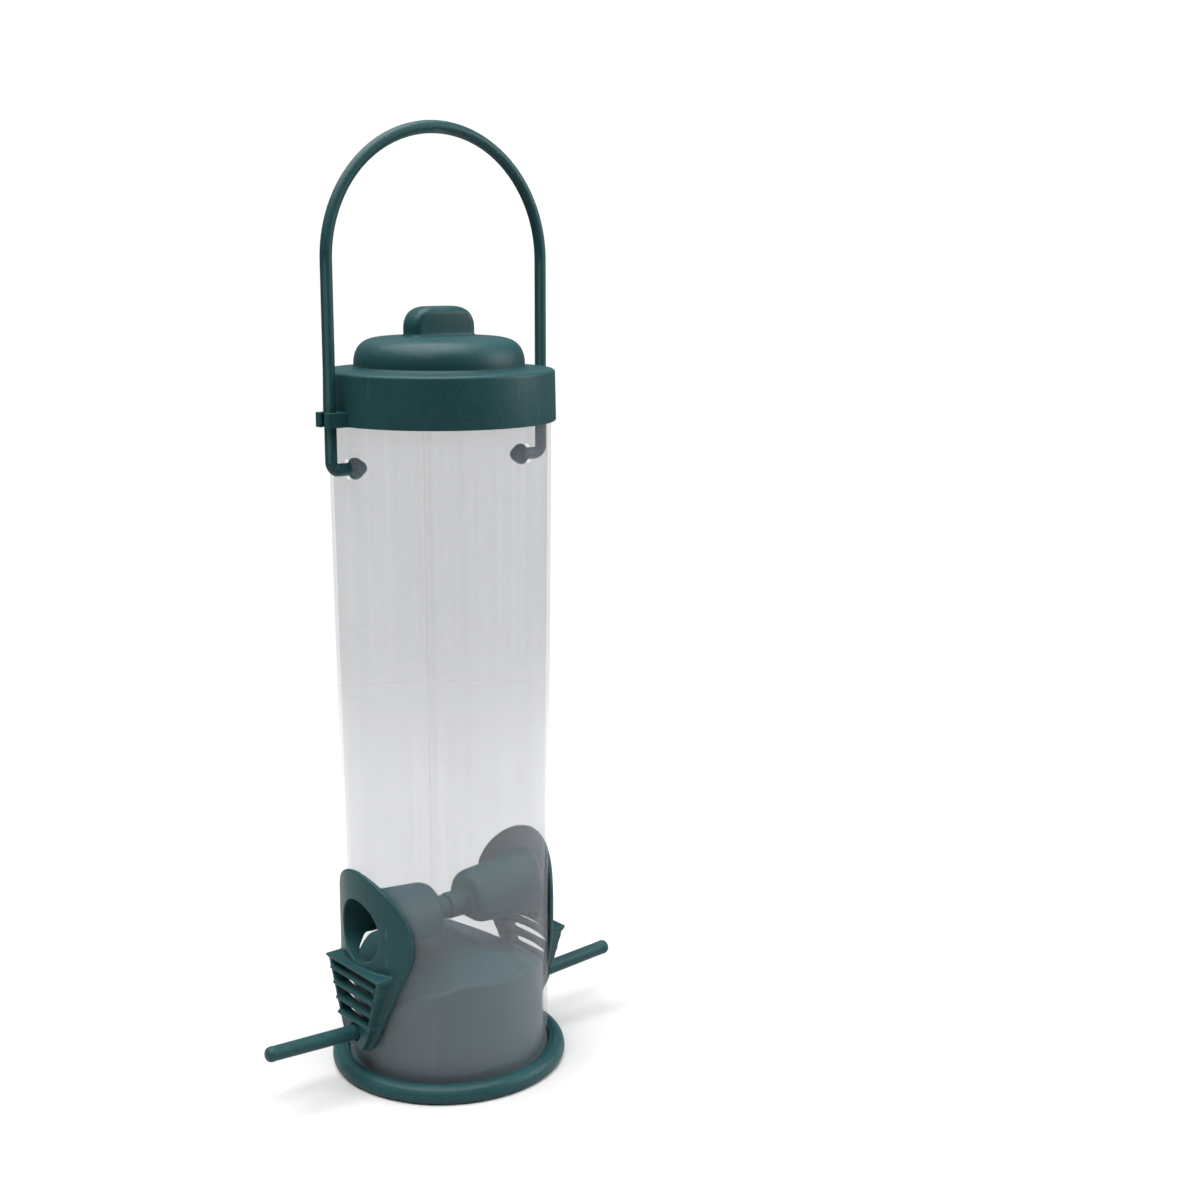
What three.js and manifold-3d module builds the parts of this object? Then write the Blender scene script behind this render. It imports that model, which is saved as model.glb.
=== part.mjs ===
// Hanging tube seed feeder: clear tube, slide-up lid, arched handle, base with a
// seed-shedding plug, two opposed feeding ports and their push-in perches.
// Units are millimetres, +Z is up, and the two ports face -X and +X.
import * as THREE from "three";
import { mergeVertices } from "three/addons/utils/BufferGeometryUtils.js";
import Module from "manifold-3d";

// ---- driving dimensions ----
const GAP = 0.35; // running gap between pieces that touch
const SIDES = 60; // facets round the large turned parts

// tube, moulded with a slight draft so that it is wider at the top
const TUBE_FOOT_Z = 3.7;
const TUBE_TOP_Z = 217.1;
const TUBE_FOOT_R = 31.6;
const TUBE_TOP_R = 33.4;
const TUBE_WALL = 1.1;

// base
const FLANGE_R = 37.25;
const FLANGE_TOP_Z = 5.4;
const GROOVE_FLOOR_Z = 3.4;
const GROOVE_R = 32.1;
const PLUG_R = 30.1;
const PLUG_WALL = 1.6;
const ROOF_Z = 37.8;
const ROOF_HALF_STRIP = 7;
const ROOF_SLOPE = 0.44; // rise over run, about 24 degrees
const ROOF_CROWN_R = 140;

// lid
const LID_FOOT_Z = 204;
const LEDGE_Z = 219.2;
const BAND_R = 34.75;
const BAND_BORE_R = 33.75;
const DOME_R = 25.5;
const DOME_TOP_Z = 229;
const KNOB_HALF_LENGTH = 10.9;
const KNOB_THICK = 8.4;
const KNOB_TOP_Z = 237.6;
const CLIP_HEIGHT = 4.3;
const CLIP_OUT_X = 40.7;
const CLIP_HALF_WIDTH = 3.6;
const CLIP_SLOT_R = 2.15;
const CLIP_MOUTH_HALF = 1.15;

// handle, one moulded rod
const ROD_R = 1.75;
const LEG_X = 38;
const HOOK_Z = 191.5;
const HOOK_BEND_R = 2.4;
const SPRING_Z = 250.9;
const HOOK_HOLE_R = 3.25;
const BARB_R = 3.2;
const BARB_IN_X = 26.8;
const BARB_OUT_X = 31.2;

// feeding ports, described along their own outward direction
const PORT_Z = 49.7;
const OPENING_R = 10;
const HOOD_ROOT_R = 11.6;
const HOOD_END_R = 9.6;
const HOOD_END_U = 6.5;
const HOOD_WALL = 1.3;
const HOOD_SKIRT_Z = 44.5;
const TUBE_PORT_R = 12;
const PLATE_IN_R = 32.5;
const PLATE_OUT_R = 33.7;
const PANEL_U = 35.2;
const SHELF_Z = 38.6;
const SHELF_THICK = 1.6;
const SHELF_HALF = 15;
const BLOCK_TOP_Z = 21.6;
const PANEL_TAPER = 0.35; // half width lost per millimetre downwards
const CHEEK = 1.6;
const SLAT_PITCH = 4.5;
const FIRST_SLAT_DROP = 3.5; // from the shelf to the first slat
const SLAT_THICK = 1.4;
const NOSE = 0.9;
const NECK_R = 3.8;
const PEG_R = 2.4;

// perches
const PERCH_R = 2.4;
const PERCH_TIP_U = 66;
const PERCH_ROOT_U = 33.9;
const PERCH_FACE_U = 35.5;
const PERCH_FACE_Z = 17.2;
const PERCH_TILT = 0.052; // radians upwards, about three degrees

// ---- materials ----
const green = () => new THREE.MeshStandardMaterial({ color: 0x23484a, roughness: 0.5 });
const clear = () =>
  new THREE.MeshStandardMaterial({ color: 0xdfe4e6, transparent: true, opacity: 0.3 });

// ---- solid helpers ----
const wasm = await Module();
wasm.setup();

// a closed three.js geometry as a solid, turned to face outwards if needed
function solid(geometry) {
  const bare = geometry.clone();
  bare.deleteAttribute("normal");
  bare.deleteAttribute("uv");
  const merged = mergeVertices(bare, 1e-4);
  const vertProperties = new Float32Array(merged.attributes.position.array);
  const triVerts = new Uint32Array(merged.index.array);
  const clean = dropThin(triVerts);
  const mesh = new wasm.Mesh({ numProp: 3, vertProperties, triVerts: clean });
  const body = new wasm.Manifold(mesh);
  if (body.volume() > 0) return body;
  for (let i = 0; i < clean.length; i += 3) {
    [clean[i + 1], clean[i + 2]] = [clean[i + 2], clean[i + 1]];
  }
  return new wasm.Manifold(new wasm.Mesh({ numProp: 3, vertProperties, triVerts: clean }));
}

// triangles that closed up when their corners were merged
function dropThin(index) {
  const kept = [];
  for (let i = 0; i < index.length; i += 3) {
    const [a, b, c] = [index[i], index[i + 1], index[i + 2]];
    if (a !== b && b !== c && a !== c) kept.push(a, b, c);
  }
  return new Uint32Array(kept);
}

// a profile of [radius, height] pairs turned round the Z axis
function turned(profile, sides = SIDES) {
  const points = [...profile, profile[0]].map(([r, z]) => new THREE.Vector2(r, z));
  return solid(new THREE.LatheGeometry(points, sides).rotateX(Math.PI / 2));
}

// the same profile turned round the X axis: pairs are [radius, x]
function turnedAlongX(profile, sides, z) {
  const points = [...profile, profile[0]].map(([r, x]) => new THREE.Vector2(r, x));
  const geometry = new THREE.LatheGeometry(points, sides).rotateZ(-Math.PI / 2);
  return solid(geometry.translate(0, 0, z));
}

function box(x0, x1, y0, y1, z0, z1) {
  const geometry = new THREE.BoxGeometry(x1 - x0, y1 - y0, z1 - z0);
  return solid(geometry.translate((x0 + x1) / 2, (y0 + y1) / 2, (z0 + z1) / 2));
}

// an outline of [x, z] pairs, swept along Y from -half to +half
function slabXZ(outline, half) {
  const shape = new THREE.Shape(outline.map(([x, z]) => new THREE.Vector2(x, z)));
  const geometry = new THREE.ExtrudeGeometry(shape, { depth: 2 * half, bevelEnabled: false });
  return solid(geometry.rotateX(Math.PI / 2).translate(0, half, 0));
}

// an outline of [y, z] pairs, swept along X from x0 to x1
function slabYZ(outline, x0, x1) {
  const shape = new THREE.Shape(outline.map(([y, z]) => new THREE.Vector2(y, z)));
  const geometry = new THREE.ExtrudeGeometry(shape, { depth: x1 - x0, bevelEnabled: false });
  geometry.rotateY(Math.PI / 2).rotateX(Math.PI / 2);
  return solid(geometry.translate(x0, 0, 0));
}

// a full ring of round rod lying in the XZ plane
function ring(x, z, bend, rod, around) {
  const geometry = new THREE.TorusGeometry(bend, rod, 12, around);
  return solid(geometry.rotateX(Math.PI / 2).translate(x, 0, z));
}

function rodAlongX(r, x0, x1, z, sides = 20) {
  const geometry = new THREE.CylinderGeometry(r, r, x1 - x0, sides).rotateZ(Math.PI / 2);
  return solid(geometry.translate((x0 + x1) / 2, 0, z));
}

function rodAlongZ(r, x, z0, z1, sides = 12) {
  const geometry = new THREE.CylinderGeometry(r, r, z1 - z0, sides).rotateX(Math.PI / 2);
  return solid(geometry.translate(x, 0, (z0 + z1) / 2));
}

const union = (...bodies) => bodies.reduce((sum, body) => sum.add(body));
const halfTurn = (body) => body.rotate([0, 0, 180]);
const tubeOuter = (z) => {
  const share = (z - TUBE_FOOT_Z) / (TUBE_TOP_Z - TUBE_FOOT_Z);
  return TUBE_FOOT_R + share * (TUBE_TOP_R - TUBE_FOOT_R);
};

// ---- tube ----
function makeTube() {
  const shell = turned([
    [TUBE_FOOT_R - TUBE_WALL, TUBE_FOOT_Z],
    [TUBE_FOOT_R, TUBE_FOOT_Z],
    [TUBE_TOP_R, TUBE_TOP_Z],
    [TUBE_TOP_R - TUBE_WALL, TUBE_TOP_Z],
  ]);
  const ports = rodAlongX(TUBE_PORT_R, -50, 50, PORT_Z, 36);
  const hooks = rodAlongX(HOOK_HOLE_R, -50, 50, HOOK_Z, 24);
  return shell.subtract(ports).subtract(hooks);
}

// ---- base: flange ring with a groove for the tube, and the roofed plug ----
function roof(lower) {
  const edge = 40;
  const top = ROOF_Z - lower;
  const eave = top - (edge - ROOF_HALF_STRIP) * ROOF_SLOPE;
  const slopes = slabXZ(
    [
      [-edge, -5],
      [edge, -5],
      [edge, eave],
      [ROOF_HALF_STRIP, top],
      [-ROOF_HALF_STRIP, top],
      [-edge, eave],
    ],
    45
  );
  const crown = rodAlongX(ROOF_CROWN_R, -45, 45, top - ROOF_CROWN_R, 144);
  return slopes.intersect(crown);
}

function makeBase() {
  const flange = turned([
    [PLUG_R - PLUG_WALL, 0],
    [30.6, 0],
    [30.9, 1.8],
    [34.1, 1.8],
    [34.4, 0],
    [36.1, 0],
    [36.9, 0.7],
    [FLANGE_R, 2.2],
    [37.0, 3.5],
    [36.2, 4.7],
    [34.9, FLANGE_TOP_Z],
    [33.8, FLANGE_TOP_Z],
    [33.1, 5.0],
    [32.5, 5.0],
    [GROOVE_R, 4.6],
    [GROOVE_R, GROOVE_FLOOR_Z],
    [PLUG_R - PLUG_WALL, GROOVE_FLOOR_Z],
  ]);
  const outside = rodAlongZ(PLUG_R, 0, 0, 60, SIDES).intersect(roof(0));
  const inside = rodAlongZ(PLUG_R - PLUG_WALL, 0, -5, 60, SIDES).intersect(roof(PLUG_WALL));
  return flange.add(outside.subtract(inside));
}

// ---- lid: band, ledge, dome, knob and the two handle clips ----
function makeKnob() {
  const bevel = 2.2;
  const l = KNOB_HALF_LENGTH - bevel;
  const top = KNOB_TOP_Z - bevel;
  const shape = new THREE.Shape();
  shape.moveTo(-l - 0.3, 220);
  shape.lineTo(l + 0.3, 220);
  shape.lineTo(l - 0.3, top - 4.6);
  shape.bezierCurveTo(l - 0.4, top - 1.6, l - 2.2, top, l - 4.4, top);
  shape.lineTo(-l + 4.4, top);
  shape.bezierCurveTo(-l + 2.2, top, -l + 0.4, top - 1.6, -l + 0.3, top - 4.6);
  shape.closePath();
  const depth = KNOB_THICK - 2 * bevel;
  const geometry = new THREE.ExtrudeGeometry(shape, {
    depth,
    curveSegments: 5,
    bevelSize: bevel,
    bevelThickness: bevel,
    bevelSegments: 3,
  });
  const tab = solid(geometry.rotateX(Math.PI / 2).translate(0, depth / 2, 0));
  return tab.intersect(box(-20, 20, -20, 20, DOME_TOP_Z - 1.5, 260));
}

function makeClip() {
  const top = LID_FOOT_Z + CLIP_HEIGHT;
  const inner = BAND_R - 0.6;
  const w = CLIP_HALF_WIDTH;
  const block = box(inner, CLIP_OUT_X, -w, w, LID_FOOT_Z, top);
  const slot = rodAlongZ(CLIP_SLOT_R, LEG_X, LID_FOOT_Z - 2, top + 2, 32);
  const m = CLIP_MOUTH_HALF;
  const mouth = box(LEG_X, CLIP_OUT_X + 2, -m, m, LID_FOOT_Z - 2, top + 2);
  return block.subtract(slot).subtract(mouth);
}

function makeLid() {
  const shell = turned([
    [BAND_BORE_R, LID_FOOT_Z],
    [BAND_R, LID_FOOT_Z],
    [34.45, 218.0],
    [34.15, 218.7],
    [33.5, LEDGE_Z],
    [25.9, LEDGE_Z + 0.3],
    [DOME_R, LEDGE_Z + 0.8],
    [25.3, 222.8],
    [24.6, 224.9],
    [23.3, 226.6],
    [21.3, 227.8],
    [18.0, 228.5],
    [9.0, 228.9],
    [0, DOME_TOP_Z],
    [0, DOME_TOP_Z - 1.6],
    [17.6, 226.9],
    [21.6, 225.5],
    [23.6, 222.4],
    [24.0, 217.6],
    [33.0, 217.5],
    [BAND_BORE_R, 216.9],
  ]);
  const clip = makeClip();
  return union(shell, makeKnob(), clip, halfTurn(clip));
}

// ---- handle: two legs, half-round arch, hooks and barbs ----
function makeHook() {
  const bendZ = HOOK_Z + HOOK_BEND_R;
  const bendX = LEG_X - HOOK_BEND_R;
  const quarter = box(bendX, LEG_X + 5, -5, 5, HOOK_Z - 5, bendZ);
  const bend = ring(bendX, bendZ, HOOK_BEND_R, ROD_R, 32).intersect(quarter);
  const shaft = rodAlongX(ROD_R, BARB_IN_X + 0.5, bendX + 0.02, HOOK_Z, 12);
  const barb = turnedAlongX(
    [
      [0, BARB_IN_X],
      [1.3, BARB_IN_X],
      [BARB_R, BARB_OUT_X - 1.7],
      [BARB_R, BARB_OUT_X - 0.5],
      [BARB_R - 0.5, BARB_OUT_X],
      [0, BARB_OUT_X],
    ],
    16,
    HOOK_Z
  );
  const leg = rodAlongZ(ROD_R, LEG_X, bendZ - 0.02, SPRING_Z + 0.02);
  return union(leg, bend, shaft, barb);
}

function makeHandle() {
  const upper = box(-60, 60, -5, 5, SPRING_Z, SPRING_Z + 60);
  const arch = ring(0, SPRING_Z, LEG_X, ROD_R, 80).intersect(upper);
  const hook = makeHook();
  return union(arch, hook, halfTurn(hook));
}

// ---- feeding port, built facing +X ----
// half outline of the saddle plate, as [half width, height]
const PLATE_HALF = [
  [0, 69.0],
  [4.0, 68.5],
  [7.4, 67.4],
  [10.4, 65.9],
  [13.2, 63.8],
  [15.6, 61.3],
  [17.6, 58.4],
  [19.0, 55.2],
  [19.8, 52.0],
  [20.1, 48.8],
  [19.9, 45.4],
  [19.1, 41.6],
  [17.8, 37.9],
  [16.0, 33.9],
  [8.2, 16.4],
  [6.9, 13.9],
  [5.0, 11.9],
  [2.6, 10.8],
];

function plateOutline() {
  const right = PLATE_HALF;
  const left = PLATE_HALF.slice(1).reverse().map(([y, z]) => [-y, z]);
  return [...right, ...left];
}

// panel half width at a height
const panelHalf = (z) => SHELF_HALF - PANEL_TAPER * (SHELF_Z - z);

function panelOutline(inset, z0, z1) {
  const low = panelHalf(z0) - inset;
  const high = panelHalf(z1) - inset;
  return [
    [-low, z0],
    [low, z0],
    [high, z1],
    [-high, z1],
  ];
}

function makeBracket() {
  const shelfFoot = SHELF_Z - SHELF_THICK;
  const bodyOutline = [
    [-4.2, 12.4],
    [4.2, 12.4],
    [panelHalf(17) - 0.4, 17],
    [panelHalf(shelfFoot), shelfFoot],
    [-panelHalf(shelfFoot), shelfFoot],
    [-panelHalf(17) + 0.4, 17],
  ];
  const body = slabYZ(bodyOutline, 24, PANEL_U);
  const window = slabYZ(panelOutline(CHEEK, BLOCK_TOP_Z, shelfFoot), 20, 50);
  let bracket = body.subtract(window);
  const shelf = slabXZ(
    [
      [24, shelfFoot],
      [PANEL_U, shelfFoot],
      [PANEL_U + NOSE, SHELF_Z - 0.6],
      [PANEL_U + NOSE, SHELF_Z],
      [24, SHELF_Z],
    ],
    SHELF_HALF
  );
  bracket = bracket.add(shelf);
  for (const step of [0, 1, 2]) {
    const z = SHELF_Z - FIRST_SLAT_DROP - step * SLAT_PITCH;
    const profile = [
      [24, z - SLAT_THICK],
      [PANEL_U, z - SLAT_THICK],
      [PANEL_U + NOSE, z - SLAT_THICK / 2],
      [PANEL_U, z],
      [24, z],
    ];
    bracket = bracket.add(slabXZ(profile, panelHalf(z)));
  }
  const rim = slabXZ(
    [
      [30, BLOCK_TOP_Z - 1.6],
      [PANEL_U - 0.01, BLOCK_TOP_Z - 1.6],
      [PANEL_U + NOSE, BLOCK_TOP_Z - 0.6],
      [PANEL_U, BLOCK_TOP_Z],
      [30, BLOCK_TOP_Z],
    ],
    panelHalf(BLOCK_TOP_Z)
  );
  return { bracket: bracket.add(rim), window };
}

function perchBore(extra) {
  const r = PERCH_R + extra;
  const geometry = new THREE.CylinderGeometry(r, r, 20, 24).rotateZ(Math.PI / 2);
  const start = PERCH_ROOT_U - PERCH_FACE_U - GAP;
  geometry.translate(start + 10, 0, 0).rotateY(-PERCH_TILT);
  return solid(geometry.translate(PERCH_FACE_U, 0, PERCH_FACE_Z));
}

function makeHood() {
  const w = HOOD_WALL;
  const shell = turnedAlongX(
    [
      [0, HOOD_END_U],
      [7.2, HOOD_END_U],
      [8.9, HOOD_END_U + 0.8],
      [HOOD_END_R, HOOD_END_U + 2.6],
      [HOOD_ROOT_R, 33.5],
      [OPENING_R + 0.1, 33.5],
      [HOOD_END_R - w, HOOD_END_U + 2.9],
      [6.9, HOOD_END_U + w],
      [0, HOOD_END_U + w],
    ],
    36,
    PORT_Z
  );
  const below = slabXZ(
    [
      [0, 20],
      [33, 20],
      [32.6, 38.2],
      [31.6, 39.4],
      [25.5, HOOD_SKIRT_Z],
      [0, HOOD_SKIRT_Z],
    ],
    20
  );
  return shell.subtract(below);
}

function makePort() {
  const outerSkin = rodAlongZ(PLATE_OUT_R, 0, 0, 90, 72);
  const innerSkin = rodAlongZ(PLATE_IN_R, 0, 0, 90, 72);
  const saddle = slabYZ(plateOutline(), 15, 45).intersect(outerSkin);
  const { bracket, window } = makeBracket();
  const outside = saddle.subtract(window).add(bracket).subtract(innerSkin);
  const opening = rodAlongX(OPENING_R, 15, 50, PORT_Z, 36);
  const hood = makeHood().intersect(outerSkin);
  return outside.subtract(opening).add(hood).subtract(perchBore(0.3));
}

// the first port carries the joining peg, the second its socket
function makePegPort() {
  const neck = rodAlongX(NECK_R, 1.2, HOOD_END_U + 0.6, PORT_Z, 24);
  const peg = rodAlongX(PEG_R, -8.4, 1.3, PORT_Z, 24);
  return halfTurn(union(makePort(), neck, peg));
}

function makeSocketPort() {
  const neck = rodAlongX(NECK_R + 0.4, -0.6, HOOD_END_U + 0.6, PORT_Z, 24);
  const bore = rodAlongX(PEG_R + GAP, -2, HOOD_END_U + 5, PORT_Z, 24);
  return makePort().add(neck).subtract(bore);
}

// ---- perch, built facing +X ----
function makePerch() {
  const r = PERCH_R;
  const length = PERCH_TIP_U - PERCH_ROOT_U;
  const profile = [
    [0, 0],
    [r - 0.3, 0],
    [r, 0.3],
    [r - 0.15, length - 1.4],
    [r - 0.6, length - 0.4],
    [r - 1.4, length],
    [0, length],
  ];
  const points = [...profile, profile[0]].map(([a, b]) => new THREE.Vector2(a, b));
  const geometry = new THREE.LatheGeometry(points, 24).rotateZ(-Math.PI / 2);
  geometry.translate(-(PERCH_FACE_U - PERCH_ROOT_U), 0, 0).rotateY(-PERCH_TILT);
  return solid(geometry.translate(PERCH_FACE_U, 0, PERCH_FACE_Z));
}

// ---- assembly ----
const group = new THREE.Group();
group.name = "tube_seed_feeder";

function place(name, body, material) {
  const out = body.getMesh();
  const geometry = new THREE.BufferGeometry();
  geometry.setAttribute("position", new THREE.BufferAttribute(out.vertProperties, 3));
  geometry.setIndex(new THREE.BufferAttribute(out.triVerts, 1));
  geometry.computeVertexNormals();
  const mesh = new THREE.Mesh(geometry, material);
  mesh.name = name;
  group.add(mesh);
}

place("tube", makeTube(), clear());
place("base", makeBase(), green());
place("port_1", makePegPort(), green());
place("port_2", makeSocketPort(), green());
place("perch_1", halfTurn(makePerch()), green());
place("perch_2", makePerch(), green());
place("handle", makeHandle(), green());
place("lid", makeLid(), green());

export default group;
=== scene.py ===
# %% [markdown]
# A hanging tube seed feeder: a clear tube stands in the groove of a green base,
# two feeding ports with perches clip through its wall, and a loop handle hooks
# into it and guides the lid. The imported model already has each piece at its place
# and size, and this lesson makes what is seen of it: the shells and their finishes.
# The heights of tube and lid are read from the model, and the other lengths follow
# its own. They are in millimetres, as on a workshop drawing, and become metres
# when a mesh is made.

# %% Frame and units
from math import cos, pi, radians, sin, sqrt

import bmesh
import bpy
from mathutils import Matrix, Vector


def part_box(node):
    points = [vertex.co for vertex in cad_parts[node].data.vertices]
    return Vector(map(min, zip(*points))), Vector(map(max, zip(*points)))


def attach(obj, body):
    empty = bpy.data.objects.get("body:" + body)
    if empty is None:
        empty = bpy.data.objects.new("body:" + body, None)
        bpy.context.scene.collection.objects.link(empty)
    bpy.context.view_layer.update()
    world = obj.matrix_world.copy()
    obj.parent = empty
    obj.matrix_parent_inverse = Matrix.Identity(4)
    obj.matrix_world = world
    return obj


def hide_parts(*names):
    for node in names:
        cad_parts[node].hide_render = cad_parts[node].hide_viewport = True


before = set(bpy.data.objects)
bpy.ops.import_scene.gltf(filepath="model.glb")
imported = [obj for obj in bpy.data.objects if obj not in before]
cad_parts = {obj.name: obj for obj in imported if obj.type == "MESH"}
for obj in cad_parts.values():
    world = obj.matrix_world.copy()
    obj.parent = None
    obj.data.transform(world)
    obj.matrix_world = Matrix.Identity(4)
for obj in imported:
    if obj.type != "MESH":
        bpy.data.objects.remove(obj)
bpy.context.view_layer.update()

MM = 0.001
tube_low, tube_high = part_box("tube")
lid_low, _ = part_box("lid")
TUBE_FOOT, TUBE_TOP = tube_low[2] / MM, tube_high[2] / MM
LID_FOOT = lid_low[2] / MM
print("tube from", round(TUBE_FOOT, 2), "to", round(TUBE_TOP, 2), "mm")

# %% [markdown]
# Most of this feeder is turned or moulded. A turned piece can be made by Screw or
# Spin, but writing its rings in code keeps control over every profile point, and
# lets one height change round the circle, as the roof of the base does. A corner
# of a moulded piece is never sharp, so each profile first has its corners eased.


# %% Profiles and turned pieces
def eased(points, reach, closed=True, steps=4):
    """Bend through each corner of a profile instead of turning sharply."""
    made = []
    count = len(points)
    for i, corner in enumerate(points):
        at_end = not closed and i in (0, count - 1)
        if at_end or corner[0] == 0:
            made.append(tuple(corner))
            continue
        here = Vector(corner)
        back = Vector(points[i - 1]) - here
        on = Vector(points[(i + 1) % count]) - here
        start = here + back.normalized() * min(reach, back.length * 0.45)
        end = here + on.normalized() * min(reach, on.length * 0.45)
        for k in range(steps + 1):
            t = k / steps
            bend = start * (1 - t) ** 2 + here * 2 * t * (1 - t) + end * t * t
            made.append(tuple(bend))
    return made


def new_piece(name, corners, faces):
    """A mesh object from corners in millimetres, welded, facing outwards."""
    mesh = bpy.data.meshes.new(name)
    mesh.from_pydata([Vector(c) * MM for c in corners], [], faces)
    work = bmesh.new()
    work.from_mesh(mesh)
    bmesh.ops.remove_doubles(work, verts=work.verts, dist=1e-7)
    bmesh.ops.recalc_face_normals(work, faces=work.faces)
    work.to_mesh(mesh)
    work.free()
    piece = bpy.data.objects.new(name, mesh)
    bpy.context.collection.objects.link(piece)
    return piece


def turned(name, loop_at, sides=192):
    """Turn a closed loop of (radius, height) round Z; it may vary with angle."""
    corners, faces = [], []
    for k in range(sides):
        angle = 2 * pi * k / sides
        loop = loop_at(angle) if callable(loop_at) else loop_at
        corners += [(r * cos(angle), r * sin(angle), z) for r, z in loop]
    count = len(corners) // sides
    for k in range(sides):
        here, there = k * count, (k + 1) % sides * count
        for i in range(count):
            j = (i + 1) % count
            faces.append((here + i, there + i, there + j, here + j))
    return new_piece(name, corners, faces)


square = [(1, 0), (2, 0), (2, 1), (1, 1)]
print("a square with eased corners has", len(eased(square, 0.2)), "points")

# %% [markdown]
# The ports have flat walls, bores and windows. They could be modelled face by
# face, but cutting simple solids from one another is how their mould is cut too.
# A voxel remesh then melts the joints together and rounds all edges evenly, as
# flowing plastic does, and Decimate thins the flat parts afterwards.


# %% Cutting, joining and moulding
def prism(name, outline, low, high, along="x"):
    """Sweep an outline of (side, height) pairs along X or Y."""
    def corner(step, side, height):
        return (step, side, height) if along == "x" else (side, step, height)

    count = len(outline)
    corners = [corner(low, *p) for p in outline] + [corner(high, *p) for p in outline]
    faces = [tuple(range(count)), tuple(range(count, 2 * count))]
    for i in range(count):
        j = (i + 1) % count
        faces.append((i, j, j + count, i + count))
    return new_piece(name, corners, faces)


def moved(piece, matrix):
    piece.data.transform(matrix)
    return piece


def settled(piece):
    """Swap a piece's mesh for the one its modifiers make."""
    bpy.context.view_layer.update()
    graph = bpy.context.evaluated_depsgraph_get()
    mesh = bpy.data.meshes.new_from_object(piece.evaluated_get(graph))
    piece.modifiers.clear()
    piece.data = mesh
    return piece


def carved(piece, tool, how="DIFFERENCE"):
    """Cut, join or keep the overlap of two closed solids; the tool is used up."""
    cut = piece.modifiers.new("cut", "BOOLEAN")
    cut.operation, cut.solver, cut.object = how, "MANIFOLD", tool
    settled(piece)
    bpy.data.objects.remove(tool)
    return piece


def moulded(piece, grain, rounds, keep=1.0):
    """Melt a piece into one skin with rounded edges; grain is in millimetres."""
    skin = piece.modifiers.new("skin", "REMESH")
    skin.mode, skin.voxel_size, skin.use_smooth_shade = "VOXEL", grain * MM, True
    soften = piece.modifiers.new("soften", "SMOOTH")
    soften.factor, soften.iterations = 0.5, rounds
    if keep < 1:
        thin = piece.modifiers.new("thin", "DECIMATE")
        thin.ratio = keep
    return settled(piece)


def joined(name, parts):
    """One object from several, each left as its own shell."""
    work = bmesh.new()
    for part in parts:
        work.from_mesh(part.data)
    mesh = bpy.data.meshes.new(name)
    work.to_mesh(mesh)
    work.free()
    for part in parts:
        bpy.data.objects.remove(part)
    piece = bpy.data.objects.new(name, mesh)
    bpy.context.collection.objects.link(piece)
    return piece


LAY_ALONG_X = Matrix.Rotation(radians(90), 4, "Y")  # the Z axis becomes X
HALF_TURN = Matrix.Rotation(pi, 4, "Z")


def rod_along_x(name, loop, height, sides=96):
    """A turned piece laid along X at a height; pairs are (radius, distance)."""
    lift = Matrix.Translation((0, 0, height * MM))
    return moved(turned(name, loop, sides), lift @ LAY_ALONG_X)


def plain_rod(name, radius, start, end, height):
    loop = [(0, start), (radius, start), (radius, end), (0, end)]
    return rod_along_x(name, loop, height)


# %% [markdown]
# Both plastics come from the shader nodes. One helper adds a node, sets it and
# links it, so each material reads as a list of what its surface does.


# %% Node helper and colours
def add_node(tree, kind, inputs=None, **settings):
    """Add a node; inputs may be values or other nodes' output sockets."""
    node = tree.nodes.new(kind)
    for key, value in settings.items():
        setattr(node, key, value)
    for key, value in (inputs or {}).items():
        if isinstance(value, bpy.types.NodeSocket):
            tree.links.new(value, node.inputs[key])
        else:
            node.inputs[key].default_value = value
    return node


def linear(hex_colour):
    """An sRGB hex colour as the linear one that Blender works with."""
    parts = [int(hex_colour[i : i + 2], 16) / 255 for i in (1, 3, 5)]
    lin = [p / 12.92 if p <= 0.04045 else ((p + 0.055) / 1.055) ** 2.4 for p in parts]
    return (*lin, 1.0)


def new_material(name):
    material = bpy.data.materials.new(name)
    material.use_nodes = True
    tree = material.node_tree
    tree.nodes.clear()
    place = add_node(tree, "ShaderNodeTexCoord").outputs["Object"]
    return material, tree, place


def grains_per_metre(size_mm):
    """Noise scale that gives blotches of a real size."""
    return 1 / (size_mm * MM)


# %% [markdown]
# The green parts are injection-moulded polypropylene, coloured in the mass and
# left with the satin skin of a spark-eroded mould. The eye gets a soft broad
# sheen, slight unevenness of colour, and paler, duller rubbed places. The mould's
# grain is about 0.1 mm, too fine to show, so it is drawn at 0.5 mm.

# %% Green moulded polypropylene
GREEN_DEEP = "#16383b"
GREEN_PALE = "#1e4649"
GREEN_RUBBED = "#4c7070"
CLOUD_MM, SPECK_MM, GRAIN_MM, SCUFF_MM = 18, 1.2, 0.5, 2.2  # widths of the blotches
SCUFF_TURN = (0.5, 0.9, 0.2)  # radians, so that the rubbed streaks run askew
SCUFF_STRETCH = 0.12
MOTTLING = 0.08  # share of the rubbed colour in the specks
SCUFFING = 0.3  # its share in the streaks
EDGE_WEAR = 0.4  # its share on raised edges
SATIN_LEAST, SATIN_MOST = 0.4, 0.5  # roughness of the skin
SCUFF_DULLING = 0.3  # how much rougher a streak is
WAVE_DEPTH, GRAIN_DEPTH = 0.0004, 0.00003  # metres
GREEN_IOR = 1.49
GREEN_SHEEN = 0.22  # specular level, low for a matt moulded skin


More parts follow.
